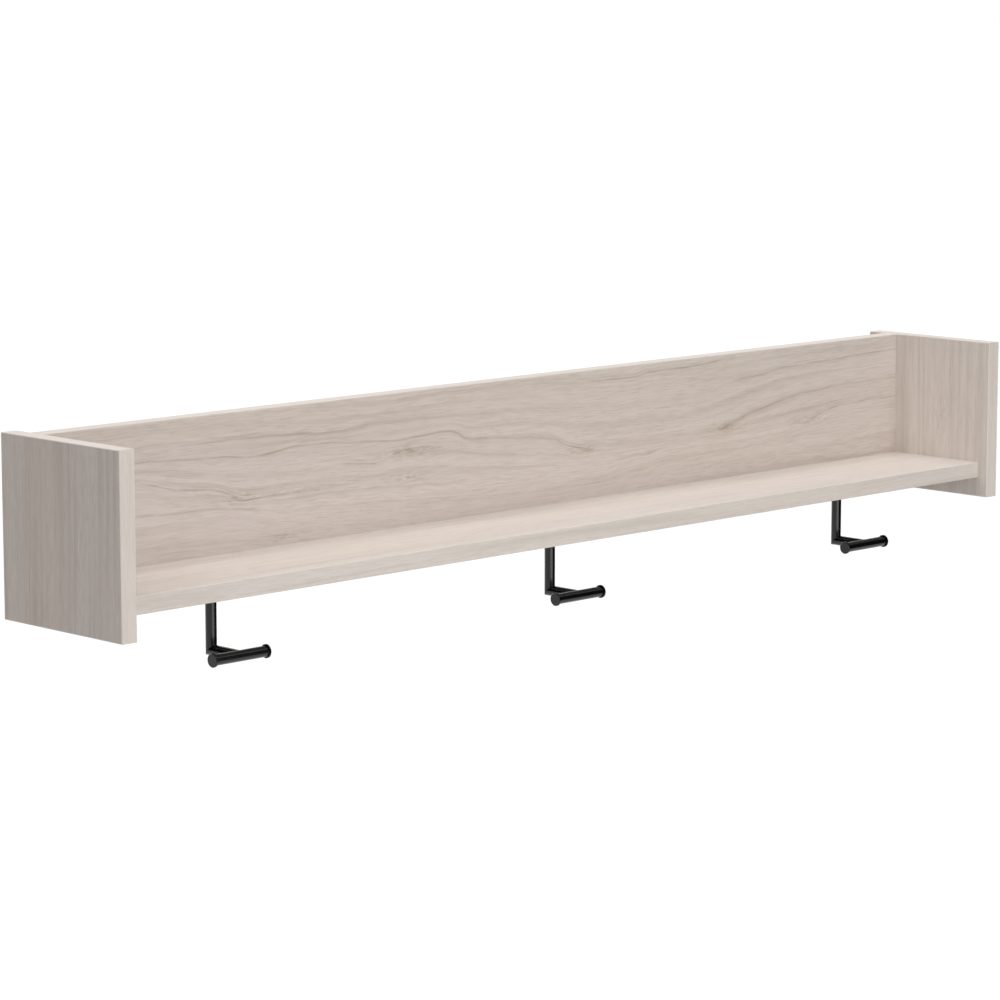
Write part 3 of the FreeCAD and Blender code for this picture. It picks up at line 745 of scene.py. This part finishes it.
shelf_low, shelf_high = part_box("shelf_board")
rail_low, rail_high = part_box("hanging_rail")
_, back_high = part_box("back_panel")
RAIL_THICKNESS = rail_high.y - rail_low.y
SHELF_SCREW_INSET, RAIL_SCREW_INSET = 60 * MM, 60 * MM
shelf_screw_x = shelf_high.x - SHELF_SCREW_INSET
rail_screw_x = rail_high.x - RAIL_SCREW_INSET
# Halfway up the rail above the bevel at its foot
rail_screw_z = rail_low.z + (rail_high.z - rail_low.z + RAIL_THICKNESS) / 2
sunk_row("shelf_screw", back_high.y, (shelf_low.z + shelf_high.z) / 2, (-shelf_screw_x, 0.0, shelf_screw_x))
sunk_row("rail_screw", rail_high.y, rail_screw_z, (-rail_screw_x, 0.0, rail_screw_x))

# Weld ring as (radius, height) in millimetres, with ripples on the rings of its outer side
WELD_PROFILE = [(4.95, -1.5), (5.25, -1.35), (5.9, -0.75), (6.7, 0.0), (4.95, 0.0)]
WELD_SEGMENTS = 102
RIPPLED_ROWS, RIPPLES, RIPPLE_SHARE = (1, 2), 17, 0.05


def weld_ripple(index, angle):
    return RIPPLE_SHARE * math.sin(RIPPLES * angle + index) if index in RIPPLED_ROWS else 0.0


weld_mesh = lathe("weld_bead", WELD_PROFILE, WELD_SEGMENTS, weld_ripple)
for hook in HOOKS:
    low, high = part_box(f"{hook}_stem")
    spot = ((low.x + high.x) / 2, (low.y + high.y) / 2, high.z)
    weld = mesh_object(f"{hook}_plate_weld", weld_mesh, paint, spot)
    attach(weld, "root")

# ---------------------------------------------------------------- floor, light and camera

FLOOR_Z = -1.35
FLOOR_HALF = 60.0
FLOOR_SHOWN, FLOOR_GLOW = grey(0.55), 0.52
FLOOR_BOUNCE = rgb(0.42, 0.42, 0.415)
WORLD_LIGHT, WORLD_SHOWN = 0.30, 1.0
WHITE = grey(1)


def seen_rays(tree):
    """1 for rays that show what they hit: to the camera, in gloss or through glass."""
    path = tree.node("ShaderNodeLightPath")
    seen = tree.math("MAXIMUM", path.outputs["Is Camera Ray"], path.outputs["Is Glossy Ray"])
    return tree.math("MAXIMUM", seen, path.outputs["Is Transmission Ray"])


def floor_material():
    """Pale floor. It bounces less light than it shows, keeps shadows, and is clear from below."""
    material, tree = new_material("studio_floor")
    shown = tree.node("ShaderNodeBsdfDiffuse", {"Color": FLOOR_SHOWN}).outputs[0]
    glow = tree.node("ShaderNodeEmission", {"Color": WHITE, "Strength": FLOOR_GLOW}).outputs[0]
    both = tree.node("ShaderNodeAddShader")
    tree.feed(both.inputs[0], shown)
    tree.feed(both.inputs[1], glow)
    bounce = tree.node("ShaderNodeBsdfDiffuse", {"Color": FLOOR_BOUNCE}).outputs[0]
    above = tree.mix_shader(seen_rays(tree), bounce, both.outputs[0])
    below = tree.node("ShaderNodeNewGeometry").outputs["Backfacing"]
    clear = tree.node("ShaderNodeBsdfTransparent").outputs[0]
    tree.node("ShaderNodeOutputMaterial", {"Surface": tree.mix_shader(below, above, clear)})
    return material


def studio_world():
    """World that shows white and lights the part less than that."""
    world = bpy.data.worlds.new("studio")
    world.use_nodes = True
    world.node_tree.nodes.clear()
    tree = Tree(world.node_tree)
    light, shown = (
        tree.node("ShaderNodeBackground", {"Color": WHITE, "Strength": strength}).outputs[0]
        for strength in (WORLD_LIGHT, WORLD_SHOWN)
    )
    tree.node("ShaderNodeOutputWorld", {"Surface": tree.mix_shader(seen_rays(tree), light, shown)})
    return world


floor_mesh = bpy.data.meshes.new("floor")
floor_mesh.from_pydata(
    [(x * FLOOR_HALF, y * FLOOR_HALF, FLOOR_Z) for x, y in ((-1, -1), (1, -1), (1, 1), (-1, 1))],
    [],
    [(0, 1, 2, 3)],
)
floor = mesh_object("floor", floor_mesh, floor_material())
bpy.context.scene.world = studio_world()


def add_lamp(name, kind, spot, towards, **settings):
    """Lamp at a spot that shines from there towards another one."""
    data = bpy.data.lights.new(name, kind)
    for key, value in settings.items():
        setattr(data, key, value)
    made = bpy.data.objects.new(name, data)
    made.location = spot
    made.rotation_euler = (Vector(spot) - Vector(towards)).to_track_quat("Z", "Y").to_euler()
    bpy.context.scene.collection.objects.link(made)


# Suns as the place that they shine from towards the origin, and their share of the strength, pi,
# that lights a face square to them fully
SUNS = {
    "top_sun": ((0, -0.05, 3), 0.50),
    "back_sun": ((0, 3, 0.6), 0.13),
    "left_sun": ((-3, 0, 3), 0.185),
}
SUN_SPREAD = math.radians(40)
for name, (spot, share) in SUNS.items():
    add_lamp(name, "SUN", spot, (0, 0, 0), energy=share * math.pi, angle=SUN_SPREAD)
add_lamp(
    "front_softbox", "AREA", (-0.09, -1.7, 0.2), (0.14, 0, 0.05),
    energy=15.8, shape="RECTANGLE", size=1.65, size_y=1.4,
)


def add_card(name, tone, start, end, low, high):
    """Upright card that only reflections see, from one place to another and between two heights."""
    material, tree = new_material(name)
    matt = tree.node("ShaderNodeBsdfDiffuse", {"Color": grey(tone)}).outputs[0]
    tree.node("ShaderNodeOutputMaterial", {"Surface": matt})
    mesh = bpy.data.meshes.new(name)
    mesh.from_pydata([(*start, low), (*end, low), (*end, high), (*start, high)], [], [(0, 1, 2, 3)])
    card = mesh_object(name, mesh, material)
    for ray in ("camera", "diffuse", "transmission", "volume_scatter", "shadow"):
        setattr(card, f"visible_{ray}", False)


# Dark cards make the dark bands along the rods.
add_card("front_card", 0.03, (0.72, -3.62), (3.68, -0.38), -1.10, 1.85)
add_card("right_card", 0.10, (3.70, -0.36), (2.90, 2.60), -1.10, 0.10)
add_card("left_card", 0.03, (-3.30, 0.90), (-0.90, 3.20), -0.25, 2.50)

# Camera fitted to edges and corners in the photo, without its lens shift
CAMERA_PLACE = (-2.4382, -2.4918, 0.5065)
CAMERA_YAW, CAMERA_PITCH = 0.77703, 0.15246
LENS, SENSOR_WIDTH = 131.56, 36.0
CLIP_START, CLIP_END = 0.05, 200.0
camera_data = bpy.data.cameras.new("camera")
camera_data.lens, camera_data.sensor_width = LENS, SENSOR_WIDTH
camera_data.clip_start, camera_data.clip_end = CLIP_START, CLIP_END
camera = bpy.data.objects.new("camera", camera_data)
camera.location = CAMERA_PLACE
camera.rotation_euler = (math.pi / 2 - CAMERA_PITCH, 0.0, -CAMERA_YAW)
bpy.context.scene.collection.objects.link(camera)
bpy.context.scene.camera = camera

bpy.context.scene.view_settings.view_transform = "Standard"
